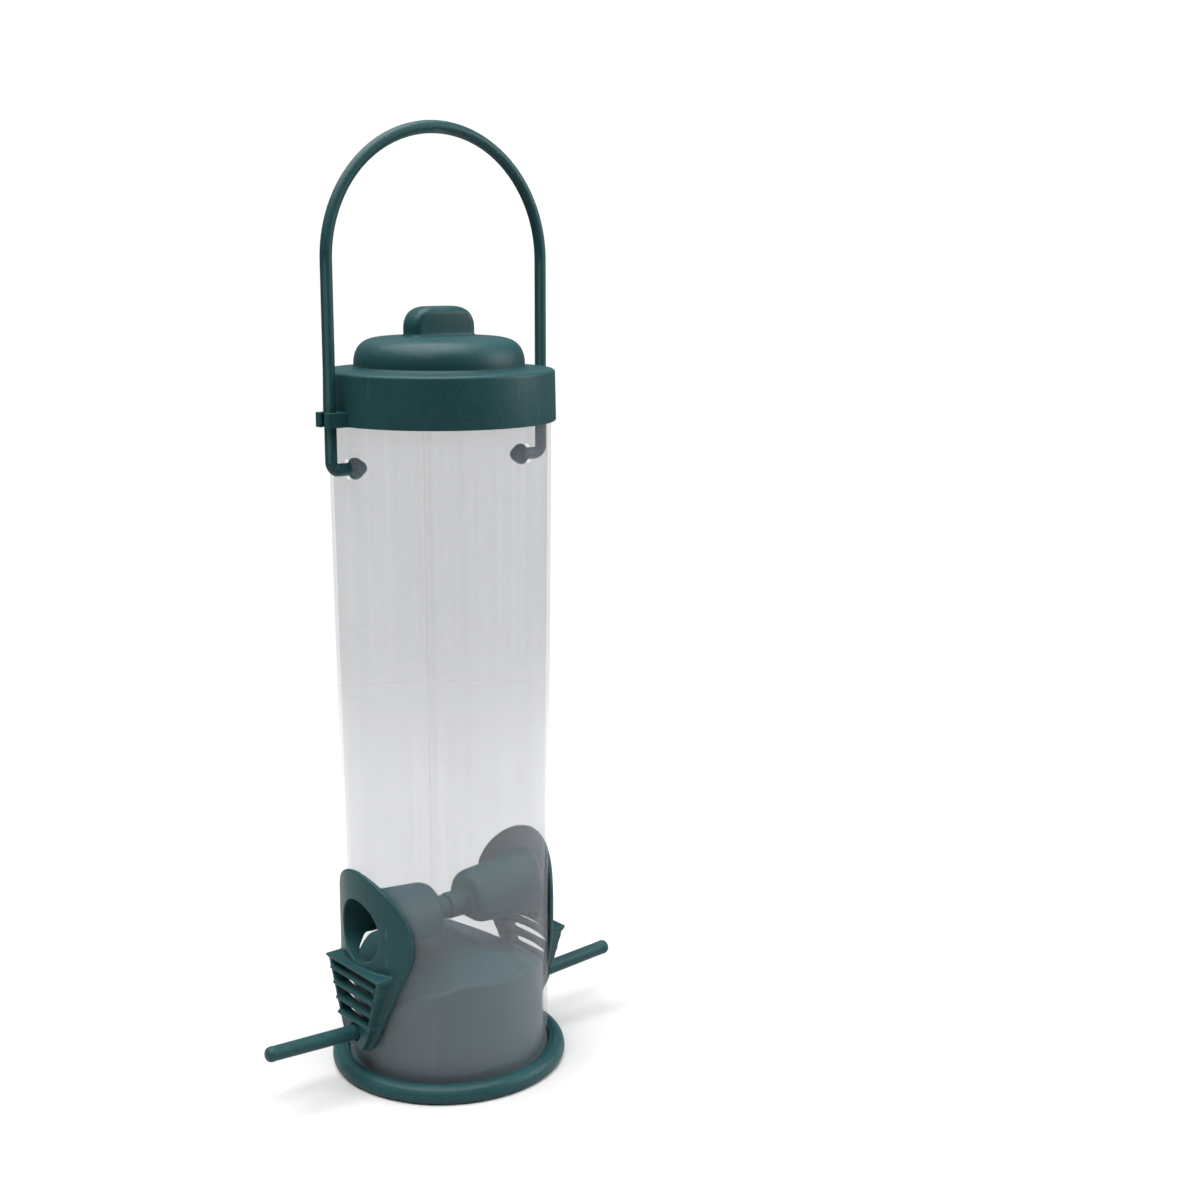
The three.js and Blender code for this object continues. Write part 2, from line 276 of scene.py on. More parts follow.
def green_polypropylene():
    material, tree, place = new_material("green_moulded_polypropylene")
    cloud = add_node(
        tree,
        "ShaderNodeTexNoise",
        {"Vector": place, "Scale": grains_per_metre(CLOUD_MM), "Detail": 3.0},
    )
    speck = add_node(
        tree,
        "ShaderNodeTexNoise",
        {"Vector": place, "Scale": grains_per_metre(SPECK_MM), "Detail": 2.0},
    )
    grain = add_node(
        tree,
        "ShaderNodeTexNoise",
        {"Vector": place, "Scale": grains_per_metre(GRAIN_MM), "Detail": 2.0},
    )
    stretch = add_node(
        tree,
        "ShaderNodeMapping",
        {"Vector": place, "Scale": (1.0, 1.0, SCUFF_STRETCH), "Rotation": SCUFF_TURN},
    )
    scuff = add_node(
        tree,
        "ShaderNodeTexNoise",
        {
            "Vector": stretch.outputs[0],
            "Scale": grains_per_metre(SCUFF_MM),
            "Detail": 4.0,
            "Roughness": 0.6,
        },
    )
    body = add_node(
        tree,
        "ShaderNodeMix",
        {0: cloud.outputs["Fac"], 6: linear(GREEN_DEEP), 7: linear(GREEN_PALE)},
        data_type="RGBA",
    )
    mottled = add_node(
        tree,
        "ShaderNodeMapRange",
        {0: speck.outputs["Fac"], 1: 0.35, 2: 0.75, 3: 0.0, 4: MOTTLING},
    )
    flecked = add_node(
        tree,
        "ShaderNodeMix",
        {0: mottled.outputs[0], 6: body.outputs[2], 7: linear(GREEN_RUBBED)},
        data_type="RGBA",
    )
    scuffed = add_node(
        tree,
        "ShaderNodeMapRange",
        {0: scuff.outputs["Fac"], 1: 0.66, 2: 0.74, 3: 0.0, 4: SCUFFING},
    )
    edges = add_node(tree, "ShaderNodeNewGeometry").outputs["Pointiness"]
    worn = add_node(
        tree,
        "ShaderNodeMapRange",
        {0: edges, 1: 0.53, 2: 0.64, 3: 0.0, 4: EDGE_WEAR},
    )
    rubbed = add_node(
        tree,
        "ShaderNodeMath",
        {0: scuffed.outputs[0], 1: worn.outputs[0]},
        operation="MAXIMUM",
    )
    colour = add_node(
        tree,
        "ShaderNodeMix",
        {0: rubbed.outputs[0], 6: flecked.outputs[2], 7: linear(GREEN_RUBBED)},
        data_type="RGBA",
    )
    satin = add_node(
        tree,
        "ShaderNodeMapRange",
        {0: cloud.outputs["Fac"], 1: 0.3, 2: 0.7, 3: SATIN_LEAST, 4: SATIN_MOST},
    )
    dull = add_node(
        tree,
        "ShaderNodeMath",
        {0: scuffed.outputs[0], 1: SCUFF_DULLING, 2: satin.outputs[0]},
        operation="MULTIPLY_ADD",
    )
    waves = add_node(
        tree,
        "ShaderNodeBump",
        {"Height": cloud.outputs["Fac"], "Strength": 0.35, "Distance": WAVE_DEPTH},
    )
    skin = add_node(
        tree,
        "ShaderNodeBump",
        {
            "Height": grain.outputs["Fac"],
            "Strength": 0.12,
            "Distance": GRAIN_DEPTH,
            "Normal": waves.outputs[0],
        },
    )
    shader = add_node(
        tree,
        "ShaderNodeBsdfPrincipled",
        {
            "Base Color": colour.outputs[2],
            "Roughness": dull.outputs[0],
            "Normal": skin.outputs[0],
            "IOR": GREEN_IOR,
            "Specular IOR Level": GREEN_SHEEN,
        },
    )
    add_node(tree, "ShaderNodeOutputMaterial", {"Surface": shader.outputs[0]})
    return material


green_plastic = green_polypropylene()
print("green:", green_plastic.name, "with", len(green_plastic.node_tree.nodes), "nodes")

# %% [markdown]
# The tube is clear extruded plastic, about a millimetre thick. Real refraction
# would cost a lot and show little in so thin a wall, so each face lets most light
# through and adds a faint grey haze. Fine lines run along it, as die lines do, and
# dust and rubbing make it a little cloudy in patches.

# %% Clear extruded tube
HAZE = "#989ca4"
FACE_COVER = 0.157  # share of light that each face of the wall stops
LINE_COVER = 0.02  # more or less of it in the die lines
PATCH_COVER = 0.03  # more of it in the cloudy patches
SPECK_COVER = 0.1  # more of it in a speck of dust
GLANCE_COVER = 0.03  # more of it where the wall is seen edge on
SEAM_COVER = 0.07  # more of it in the one plain die line
SEAM_BEARING = radians(-132.7)  # where that line runs down the front
SEAM_HALF = 0.004  # radians either side, about 0.13 mm
LINE_MM, PATCH_MM, DUST_MM = 2.5, 30, 0.8
LINE_STRETCH = 0.01  # so that the lines run the whole length
RIPPLE_DEPTH = 0.0002  # metres
CLEAR_IOR = 1.57
CLEAR_ROUGHNESS = 0.12


def clear_extrusion():
    material, tree, place = new_material("clear_extruded_styrene")
    along = add_node(
        tree,
        "ShaderNodeMapping",
        {"Vector": place, "Scale": (1.0, 1.0, LINE_STRETCH)},
    )
    lines = add_node(
        tree,
        "ShaderNodeTexNoise",
        {"Vector": along.outputs[0], "Scale": grains_per_metre(LINE_MM), "Detail": 3.0},
    )
    patches = add_node(
        tree,
        "ShaderNodeTexNoise",
        {"Vector": place, "Scale": grains_per_metre(PATCH_MM), "Detail": 2.0},
    )
    dust = add_node(
        tree,
        "ShaderNodeTexNoise",
        {"Vector": place, "Scale": grains_per_metre(DUST_MM), "Detail": 1.0},
    )
    specks = add_node(
        tree,
        "ShaderNodeMapRange",
        {0: dust.outputs["Fac"], 1: 0.72, 2: 0.8, 3: 0.0, 4: SPECK_COVER},
    )
    least, most = FACE_COVER - LINE_COVER, FACE_COVER + LINE_COVER
    cover = add_node(
        tree,
        "ShaderNodeMapRange",
        {0: lines.outputs["Fac"], 1: 0.2, 2: 0.8, 3: least, 4: most},
        clamp=False,
    )
    cloudy = add_node(
        tree,
        "ShaderNodeMath",
        {0: patches.outputs["Fac"], 1: PATCH_COVER, 2: cover.outputs[0]},
        operation="MULTIPLY_ADD",
    )
    dusty = add_node(
        tree,
        "ShaderNodeMath",
        {0: cloudy.outputs[0], 1: specks.outputs[0]},
        operation="ADD",
    )
    glance = add_node(tree, "ShaderNodeLayerWeight", {"Blend": 0.5}).outputs["Facing"]
    sharper = add_node(tree, "ShaderNodeMath", {0: glance, 1: 4.0}, operation="POWER")
    shine = add_node(
        tree,
        "ShaderNodeMath",
        {0: sharper.outputs[0], 1: GLANCE_COVER, 2: dusty.outputs[0]},
        operation="MULTIPLY_ADD",
    )
    sides = add_node(tree, "ShaderNodeSeparateXYZ", {0: place})
    bearing = add_node(
        tree,
        "ShaderNodeMath",
        {0: sides.outputs[1], 1: sides.outputs[0]},
        operation="ARCTAN2",
    )
    on_seam = add_node(
        tree,
        "ShaderNodeMath",
        {0: bearing.outputs[0], 1: SEAM_BEARING, 2: SEAM_HALF},
        operation="COMPARE",
    )
    seamed = add_node(
        tree,
        "ShaderNodeMath",
        {0: on_seam.outputs[0], 1: SEAM_COVER, 2: shine.outputs[0]},
        operation="MULTIPLY_ADD",
    )
    ripple = add_node(
        tree,
        "ShaderNodeBump",
        {"Height": lines.outputs["Fac"], "Strength": 0.2, "Distance": RIPPLE_DEPTH},
    )
    shader = add_node(
        tree,
        "ShaderNodeBsdfPrincipled",
        {
            "Base Color": linear(HAZE),
            "Roughness": CLEAR_ROUGHNESS,
            "IOR": CLEAR_IOR,
            "Alpha": seamed.outputs[0],
            "Normal": ripple.outputs[0],
        },
    )
    add_node(tree, "ShaderNodeOutputMaterial", {"Surface": shader.outputs[0]})
    return material


clear_plastic = clear_extrusion()
print("clear:", clear_plastic.name)

# %% [markdown]
# Each piece ends the same way, so one helper does it. Smooth shading makes a
# curved wall look curved, and it has to stop at real edges, so edges steeper than
# a given angle stay sharp. The piece then rides on the body that carries it and
# stands for the node of the model that it covers.


# %% Handing a finished piece to the frame
def finished(piece, node, body, finish, sharp_from=35):
    """Give a piece its finish, and let it stand for its node of the model."""
    mesh = piece.data
    mesh.materials.clear()
    mesh.materials.append(finish)
    work = bmesh.new()
    work.from_mesh(mesh)
    for face in work.faces:
        face.smooth = True
        face.material_index = 0
    for edge in work.edges:
        between_two = len(edge.link_faces) == 2
        edge.smooth = not (between_two and edge.calc_face_angle(0) > radians(sharp_from))
    work.to_mesh(mesh)
    triangles = sum(len(face.verts) - 2 for face in work.faces)
    work.free()
    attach(piece, body)
    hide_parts(node)
    print(piece.name, "stands for", node, "with", triangles, "triangles")
    return piece


# %% [markdown]
# The tube narrows a little towards the foot, so the profile has two radii. Its
# wall has real thickness, rings every few millimetres keep the shading even near
# the cuts, and two rods cut right through it leave the four holes that take the
# ports and the hooks of the handle.

# %% The tube
TUBE_FOOT_R = 31.6
TUBE_TOP_R = 33.4
TUBE_WALL = 1.1
PORT_Z = 49.7
PORT_BORE_R = 12
HOOK_Z = 191.5
HOOK_BORE_R = 3.25
THROUGH = 50  # reach of a cutter that passes right through


def tube_wall(rings=44):
    rise = [k / rings for k in range(rings + 1)]
    widening, length = TUBE_TOP_R - TUBE_FOOT_R, TUBE_TOP - TUBE_FOOT
    outer = [(TUBE_FOOT_R + t * widening, TUBE_FOOT + t * length) for t in rise]
    inner = [(r - TUBE_WALL, z) for r, z in reversed(outer)]
    return outer + inner


tube = turned("tube_shell", tube_wall(), 240)
carved(tube, plain_rod("port_bore", PORT_BORE_R, -THROUGH, THROUGH, PORT_Z))
carved(tube, plain_rod("hook_bore", HOOK_BORE_R, -THROUGH, THROUGH, HOOK_Z))
finished(tube, "tube", "feeder", clear_plastic)

# %% [markdown]
# The base is one moulding: a rounded flange with a groove for the tube, and a
# hollow plug with a ridged roof that sends the last seeds down to the ports. It
# is turned like the tube, but the top of its profile follows the roof, whose
# height depends on where round the circle the profile stands.

# %% The base
PLUG_R = 30.1
PLUG_WALL = 1.6
GROOVE_Z = 3.4  # the groove's floor, a little below the tube's foot
EAVE_R = 1.3  # the rounding between the plug's wall and its roof
ROOF_TOP = 37.8
RIDGE_HALF = 7
ROOF_SLOPE = 0.44
CROWN_R = 140


def lower_of(a, b, blend=0.8):
    """The lower of two heights, with a rounded crease between them."""
    share = max(blend - abs(a - b), 0) / blend
    return min(a, b) - share * share * blend / 4


def roof_height(x, y):
    slope = ROOF_TOP - max((abs(x) - RIDGE_HALF) * ROOF_SLOPE, -3)
    crown = ROOF_TOP + sqrt(CROWN_R**2 - y * y) - CROWN_R
    return lower_of(slope, crown)


def base_profile(angle):
    x_way, y_way = cos(angle), sin(angle)
    flange = eased(
        [
            (PLUG_R - PLUG_WALL, 0), (30.6, 0), (30.9, 1.8), (34.1, 1.8), (34.4, 0),
            (36.1, 0), (36.9, 0.7), (37.25, 2.2), (37.0, 3.5), (36.2, 4.7), (34.9, 5.4),
            (33.8, 5.4), (33.1, 5.0), (32.5, 5.0), (32.1, 4.6), (32.1, GROOVE_Z),
            (PLUG_R, GROOVE_Z),
        ],
        0.4,
        closed=False,
        steps=3,
    )

    def roof_at(r):
        return roof_height(r * x_way, r * y_way)

    brim = PLUG_R - EAVE_R
    wall_top = roof_at(brim) - EAVE_R
    wall = [(PLUG_R, GROOVE_Z + (wall_top - GROOVE_Z) * k / 8) for k in range(1, 9)]
    shoulder = []
    for k in range(1, 6):
        turn = radians(18 * k)
        r = brim + EAVE_R * cos(turn)
        shoulder.append((r, roof_at(r) - EAVE_R * (1 - sin(turn))))
    roof = [(r, roof_at(r)) for r in (brim * (1 - k / 26) for k in range(1, 26))]
    centre = [(0, roof_at(0)), (0, roof_at(0) - PLUG_WALL)]
    inside_r = PLUG_R - PLUG_WALL
    under = [(r, roof_at(r) - PLUG_WALL) for r in (inside_r * k / 12 for k in range(1, 13))]
    return flange + wall + shoulder + roof + centre + under


base = turned("base_moulding", base_profile, 240)
finished(base, "base", "feeder", green_plastic)

# %% [markdown]
# The lid is a cap with a plain band, a soft dome and a grip tab, and a clip on
# each side slides on the legs of the handle. The cap is turned. The tab is a
# stack of rounded oblongs whose sizes follow its two roundings, which gives the
# broad flat faces and the flared foot that a moulder adds for strength.

# %% The lid's cap and tab
BAND_R = 34.75
BAND_BORE_R = 33.75
LEDGE_Z = 219.2
DOME_TOP = 229
TAB_FOOT = 227.9
TAB_TOP = 237.6
TAB_ROUND = 6.2
TAB_EDGE = 2.3
TAB_HALF_LONG = 10.9
TAB_HALF_WIDE = 4.2
TAB_CORNER = 2.2
FOOT_FLARE = 0.45

dome = [
    (33.9, LEDGE_Z), (26.0, LEDGE_Z + 0.25), (25.45, 220.2), (25.45, 222.0),
    (25.0, 224.1), (24.0, 226.0), (22.3, 227.5), (19.8, 228.4), (16.5, 228.75),
    (9.0, 228.92),
]
band = [(BAND_BORE_R, LID_FOOT), (BAND_R, LID_FOOT), (34.45, 218.6)] + dome[:2]
hollow = [
    (17.6, 226.9), (21.6, 225.5), (23.6, 222.4), (24.0, 217.6), (33.0, 217.5),
    (BAND_BORE_R, 216.9),
]
cap_loop = (
    eased(band, 0.45, closed=False)
    + eased(dome[2:], 1.6, closed=False)
    + [(0, DOME_TOP), (0, DOME_TOP - 1.6)]
    + eased(hollow, 1.0, closed=False)
)
cap = turned("lid_cap", cap_loop, 240)


def oblong(half_long, half_wide, corner, height, bends=7):
    """Corners of a rounded oblong, counted round from the +X +Y corner."""
    ring = []
    for turn, (sx, sy) in enumerate([(1, 1), (-1, 1), (-1, -1), (1, -1)]):
        for k in range(bends + 1):
            angle = pi / 2 * (turn + k / bends)
            x = sx * (half_long - corner) + corner * cos(angle)
            y = sy * (half_wide - corner) + corner * sin(angle)
            ring.append((x, y, height))
    return ring


def tab_section(height):
    """Half length and half thickness of the tab at a height."""
    into_round = max(height - (TAB_TOP - TAB_ROUND), 0)
    into_edge = max(height - (TAB_TOP - TAB_EDGE), 0)
    above_foot = height - DOME_TOP + 0.2
    flare = min(FOOT_FLARE * max(0, 1 - above_foot) ** 2, FOOT_FLARE)
    half_long = TAB_HALF_LONG - TAB_ROUND + sqrt(TAB_ROUND**2 - into_round**2)
    half_wide = TAB_HALF_WIDE - TAB_EDGE + sqrt(max(TAB_EDGE**2 - into_edge**2, 0))
    return half_long + flare, half_wide + flare


def grip_tab(levels=44):
    corners, faces = [], []
    for k in range(levels + 1):
        height = TAB_FOOT + (TAB_TOP - TAB_FOOT) * sin(pi / 2 * k / levels)
        half_long, half_wide = tab_section(height)
        corners += oblong(half_long, half_wide, min(TAB_CORNER, half_wide - 0.1), height)
    count = len(corners) // (levels + 1)
    for k in range(levels):
        here, there = k * count, (k + 1) * count
        for i in range(count):
            j = (i + 1) % count
            faces.append((here + i, here + j, there + j, there + i))
    faces += [tuple(range(count)), tuple(range(levels * count, (levels + 1) * count))]
    return new_piece("grip_tab", corners, faces)


tab = grip_tab()
carved(cap, tab, "UNION")

# %% [markdown]
# A clip is a small block with a round slot for the leg and a narrower mouth, so
# that it can snap on and then slide. The block is cut by a turned rod and a bar,
# then melted into one skin, which rounds all its corners at once.

# %% The lid's two clips
CLIP_TOP = LID_FOOT + 4.3
CLIP_OUT = 40.7
CLIP_HALF = 3.6
CLIP_SLOT_R = 2.15
CLIP_MOUTH_HALF = 1.15
CLIP_GRAIN = 0.16  # voxel edge in millimetres
LEG_X = 38
PAST = 2  # how far a cutter reaches past what it cuts


def upright(left, right, low, high):
    """Outline of an upright oblong, as (across, up) pairs."""
    return [(left, low), (right, low), (right, high), (left, high)]


def clip():
    outline = upright(-CLIP_HALF, CLIP_HALF, LID_FOOT, CLIP_TOP)
    block = prism("clip", outline, BAND_R - 0.5, CLIP_OUT)
    slot = turned("slot", upright(0, CLIP_SLOT_R, LID_FOOT - PAST, CLIP_TOP + PAST), 48)
    carved(block, moved(slot, Matrix.Translation((LEG_X * MM, 0, 0))))
    mouth = upright(-CLIP_MOUTH_HALF, CLIP_MOUTH_HALF, LID_FOOT - PAST, CLIP_TOP + PAST)
    carved(block, prism("mouth", mouth, LEG_X, CLIP_OUT + PAST))
    return moulded(block, CLIP_GRAIN, 3)


lid = joined("lid_moulding", [cap, clip(), moved(clip(), HALF_TURN)])
finished(lid, "lid", "lid", green_plastic)

# %% [markdown]
# The handle is a round rod that runs from one hook up a leg, over a half circle
# and down again. Its shape follows a path, which is what Geometry Nodes sweep
# best: the path goes in as a line of points, the section is a circle with the
# two thin ridges that the halves of the mould leave, and both are named inputs.

# %% The handle's path and section
ROD_R = 1.75
SPRING_Z = 250.9
BEND_R = 2.4
BARB_TIP = 26.8
BARB_BACK = 31.2


def handle_path():
    """Points of the rod's middle line, drawn flat as (across, up)."""
    bend_x, bend_z = LEG_X - BEND_R, HOOK_Z + BEND_R
    side = [(BARB_TIP + 0.5 + k * (bend_x - BARB_TIP - 0.5) / 4, HOOK_Z) for k in range(4)]
    for a in range(0, 91, 10):
        side.append((bend_x + BEND_R * sin(radians(a)), bend_z - BEND_R * cos(radians(a))))
    side += [(LEG_X, bend_z + (SPRING_Z - bend_z) * k / 12) for k in range(1, 12)]
    arch = []
    for a in range(0, 181, 2):
        arch.append((LEG_X * cos(radians(a)), SPRING_Z + LEG_X * sin(radians(a))))
    return side + arch + [(-x, z) for x, z in reversed(side)]


def line_object(name, points, closed=False):
    mesh = bpy.data.meshes.new(name)
    edges = [(i, i + 1) for i in range(len(points) - 1)]
    if closed:
        edges.append((len(points) - 1, 0))
    mesh.from_pydata([Vector((x, y, 0)) * MM for x, y in points], edges, [])
    line = bpy.data.objects.new(name, mesh)
    bpy.context.collection.objects.link(line)
    return line


def rod_section(steps=36, ridge=0.14):
    ring = []
    for k in range(steps):
        angle = 2 * pi * k / steps
        reach = ROD_R + (ridge if k in (0, steps // 2) else 0)
        ring.append((reach * cos(angle), reach * sin(angle)))
    return ring


path = line_object("handle_path", handle_path())
section = line_object("rod_section", rod_section(), closed=True)

# %% [markdown]
# The rod could be a curve with a bevel, but a node tree keeps its rule in sight:
# the line becomes a curve, its normals are kept upright so that the ridges don't
# twist, the section is carried along it, and the ends are capped. Three helpers
# start, end and run a tree, because the slats of the ports use them as well.


# %% The sweep as a node tree
def new_tree(name, inputs):
    """A Geometry Nodes tree with named inputs after its geometry."""
    tree = bpy.data.node_groups.new(name, "GeometryNodeTree")
    tree.interface.new_socket("Geometry", in_out="INPUT", socket_type="NodeSocketGeometry")
    tree.interface.new_socket("Geometry", in_out="OUTPUT", socket_type="NodeSocketGeometry")
    for label, kind in inputs:
        tree.interface.new_socket(label, in_out="INPUT", socket_type=kind)
    return tree, tree.nodes.new("NodeGroupInput").outputs


def end_tree(tree, geometry, material_socket):
    real = add_node(tree, "GeometryNodeRealizeInstances", {"Geometry": geometry})
    painted = add_node(
        tree,
        "GeometryNodeSetMaterial",
        {"Geometry": real.outputs[0], "Material": material_socket},
    )
    add_node(tree, "NodeGroupOutput", {"Geometry": painted.outputs[0]})


def run_tree(piece, tree, values):
    """Put a tree on a piece, set its inputs by identifier, and settle it."""
    maker = piece.modifiers.new(tree.name, "NODES")
    maker.node_group = tree
    for item in tree.interface.items_tree:
        if item.in_out == "INPUT" and item.name in values:
            maker[item.identifier] = values[item.name]
    return settled(piece)


def sweep_tree():
    wants = [("Section", "NodeSocketObject"), ("Material", "NodeSocketMaterial")]
    tree, given = new_tree("rod_sweep", wants)
    rail = add_node(tree, "GeometryNodeMeshToCurve", {"Mesh": given["Geometry"]})
    steady = add_node(
        tree,
        "GeometryNodeSetCurveNormal",
        {"Curve": rail.outputs[0]},
        mode="Z_UP",
    )
    shape = add_node(tree, "GeometryNodeObjectInfo", {"Object": given["Section"]})
    profile = add_node(tree, "GeometryNodeMeshToCurve", {"Mesh": shape.outputs["Geometry"]})
    rod = add_node(
        tree,
        "GeometryNodeCurveToMesh",
        {
            "Curve": steady.outputs[0],
            "Profile Curve": profile.outputs[0],
            "Fill Caps": True,
        },
    )
    end_tree(tree, rod.outputs[0], given["Material"])
    return tree


rod = run_tree(path, sweep_tree(), {"Section": section, "Material": green_plastic})
moved(rod, Matrix.Rotation(radians(90), 4, "X"))
bpy.data.objects.remove(section)
print("handle rod:", len(rod.data.polygons), "faces")

# %% [markdown]
# The barb at the end of each hook is pushed through its hole in the tube and
# can't slip back. It is round, so it is turned, and it stays a shell of its own
# that overlaps the rod: the crease between them is sharp on the real one too.

# %% The hooks' barbs, and the whole handle
BARB_R = 3.2
barb_loop = eased(
    [
        (0, BARB_TIP), (1.3, BARB_TIP), (BARB_R, BARB_BACK - 1.7),
        (BARB_R, BARB_BACK - 0.5), (BARB_R - 0.5, BARB_BACK), (0, BARB_BACK),
    ],
    0.35,
)
barb = rod_along_x("barb", barb_loop, HOOK_Z, 48)
other_barb = moved(rod_along_x("barb", barb_loop, HOOK_Z, 48), HALF_TURN)
handle = joined("handle_rod", [rod, barb, other_barb])
work = bmesh.new()
work.from_mesh(handle.data)
bmesh.ops.recalc_face_normals(work, faces=work.faces)
work.to_mesh(handle.data)
work.free()
finished(handle, "handle", "feeder", green_plastic, sharp_from=50)

# %% [markdown]
# Each port is a saddle that hugs the tube, with a hooded spout inside and a
# louvred bracket outside. The slats of the louvre repeat downwards and get
# shorter with the panel's taper, so a node tree sets them out from one slat: its
# count, pitch, width and taper are inputs that can be changed in one place.

# %% The louvre's slats
PANEL_U = 35.2
NOSE = 0.9
SHELF_Z = 38.6
SHELF_THICK = 1.6
SHELF_HALF = 15
BLOCK_TOP = 21.6
TAPER = 0.35
SLAT_PITCH = 4.5
FIRST_SLAT_DROP = 3.5
SLAT_THICK = 1.4
CHEEK = 1.6
INTO_CHEEK = 0.7  # how far a slat's end stays inside the cheek
PANEL_ROOT = 24  # where the panel starts, well inside the tube


def louvre_tree():
    wants = [
        ("Count", "NodeSocketInt"),
        ("First height", "NodeSocketFloat"),
        ("Pitch", "NodeSocketFloat"),
        ("First half width", "NodeSocketFloat"),
        ("Taper", "NodeSocketFloat"),
        ("Material", "NodeSocketMaterial"),
    ]
    tree, given = new_tree("louvre_slats", wants)
    drop = add_node(
        tree,
        "ShaderNodeMath",
        {0: given["Pitch"], 1: -1.0},
        operation="MULTIPLY",
    )
    start = add_node(tree, "ShaderNodeCombineXYZ", {"Z": given["First height"]})
    step = add_node(tree, "ShaderNodeCombineXYZ", {"Z": drop.outputs[0]})
    line = add_node(
        tree,
        "GeometryNodeMeshLine",
        {
            "Count": given["Count"],
            "Start Location": start.outputs[0],
            "Offset": step.outputs[0],
        },
    )
    number = add_node(tree, "GeometryNodeInputIndex")
    fallen = add_node(
        tree,
        "ShaderNodeMath",
        {0: number.outputs[0], 1: given["Pitch"]},
        operation="MULTIPLY",
    )
    lost = add_node(
        tree,
        "ShaderNodeMath",
        {0: fallen.outputs[0], 1: given["Taper"]},
        operation="MULTIPLY",
    )
    half = add_node(
        tree,
        "ShaderNodeMath",
        {0: given["First half width"], 1: lost.outputs[0]},
        operation="SUBTRACT",
    )
    size = add_node(
        tree,
        "ShaderNodeCombineXYZ",
        {"X": 1.0, "Y": half.outputs[0], "Z": 1.0},
    )
    slats = add_node(
        tree,
        "GeometryNodeInstanceOnPoints",
        {
            "Points": line.outputs[0],
            "Instance": given["Geometry"],
            "Scale": size.outputs[0],
        },
    )
    end_tree(tree, slats.outputs[0], given["Material"])
    return tree


def panel_half(height):
    return SHELF_HALF - TAPER * (SHELF_Z - height)


louvre = louvre_tree()
slat_outline = [
    (PANEL_ROOT, -SLAT_THICK), (PANEL_U, -SLAT_THICK), (PANEL_U + NOSE, -SLAT_THICK / 2),
    (PANEL_U, 0), (PANEL_ROOT, 0),
]


def slats():
    """Three slats, from one two metres wide, so that its scale is the half width."""
    one = prism("slats", slat_outline, -1 / MM, 1 / MM, along="y")
    first = SHELF_Z - FIRST_SLAT_DROP
    values = {
        "Count": 3,
        "First height": first * MM,
        "Pitch": SLAT_PITCH * MM,
        "First half width": (panel_half(first) - INTO_CHEEK) * MM,
        "Taper": TAPER,
        "Material": green_plastic,
    }
    return run_tree(one, louvre, values)


# %% [markdown]
# The bracket outside the tube has a shelf under the opening, two cheeks with the
# slats between them, and a block that holds the perch. It is a tapering prism
# with a window cut into it, and shelf, slats and rim are joined on one by one.


# %% The bracket: cheeks, shelf, slats and the block that holds the perch
def panel(inset, low, high):
    narrow, broad = panel_half(low) - inset, panel_half(high) - inset
    return [(-narrow, low), (narrow, low), (broad, high), (-broad, high)]


def window():
    return prism("window", panel(CHEEK, BLOCK_TOP, SHELF_Z - SHELF_THICK), 20, 50)


def bracket():
    shelf_foot = SHELF_Z - SHELF_THICK
    foot_z, shoulder_z = 12.4, 17
    foot, shoulder, top = 4.2, panel_half(shoulder_z) - 0.4, panel_half(shelf_foot)
    outline = [
        (-foot, foot_z), (foot, foot_z), (shoulder, shoulder_z), (top, shelf_foot),
        (-top, shelf_foot), (-shoulder, shoulder_z),
    ]
    body = carved(prism("bracket", outline, PANEL_ROOT, PANEL_U), window())
    ledge = [
        (PANEL_ROOT, shelf_foot), (PANEL_U, shelf_foot), (PANEL_U + NOSE, SHELF_Z - 0.6),
        (PANEL_U + NOSE, SHELF_Z), (PANEL_ROOT, SHELF_Z),
    ]
    carved(body, prism("shelf", ledge, -SHELF_HALF, SHELF_HALF, along="y"), "UNION")
    carved(body, slats(), "UNION")
    rim_foot = BLOCK_TOP - 1.6
    rim = [
        (30, rim_foot), (PANEL_U - 0.01, rim_foot), (PANEL_U + NOSE, BLOCK_TOP - 0.6),
        (PANEL_U, BLOCK_TOP), (30, BLOCK_TOP),
    ]
    half = panel_half(BLOCK_TOP)
    return carved(body, prism("rim", rim, -half, half, along="y"), "UNION")


# %% [markdown]
# The saddle is a pear-shaped plate that hugs the tube. A flat plate could be bent,
# but keeping only what a flat outline and a thin round sleeve share gives the
# exact curve. The hood inside keeps the seeds from falling out: a thimble, open
# below, trimmed by a drum to meet the saddle.

# %% The saddle plate and the hooded spout
SADDLE_IN = 32.5
SADDLE_OUT = 33.7
OPENING_R = 10
HOOD_END = 6.5
HOOD_ROOT = 33.5
HOOD_ROOT_R = 11.6
HOOD_END_R = 9.6
HOOD_WALL = 1.3
SKIRT_Z = 44.5

half_saddle = [
    (4.0, 68.5), (7.4, 67.4), (10.4, 65.9), (13.2, 63.8), (15.6, 61.3), (17.6, 58.4),
    (19.0, 55.2), (19.8, 52.0), (20.1, 48.8), (19.9, 45.4), (19.1, 41.6), (17.8, 37.9),
    (16.0, 33.9), (8.2, 16.4), (6.9, 13.9), (5.0, 11.9), (2.6, 10.8),
]


def saddle():
    outline = [(0.01, 69.0)] + half_saddle + [(-y, z) for y, z in reversed(half_saddle)]
    sheet = [(SADDLE_IN, 0), (SADDLE_OUT, 0), (SADDLE_OUT, 90), (SADDLE_IN, 90)]
    plate = prism("saddle", eased(outline, 1.6, steps=3), 15, 45)
    return carved(carved(plate, turned("sheet", sheet, 256), "INTERSECT"), window())


def solid_drum(radius):
    return turned("drum", [(0, -5), (radius, -5), (radius, 95), (0, 95)], 256)


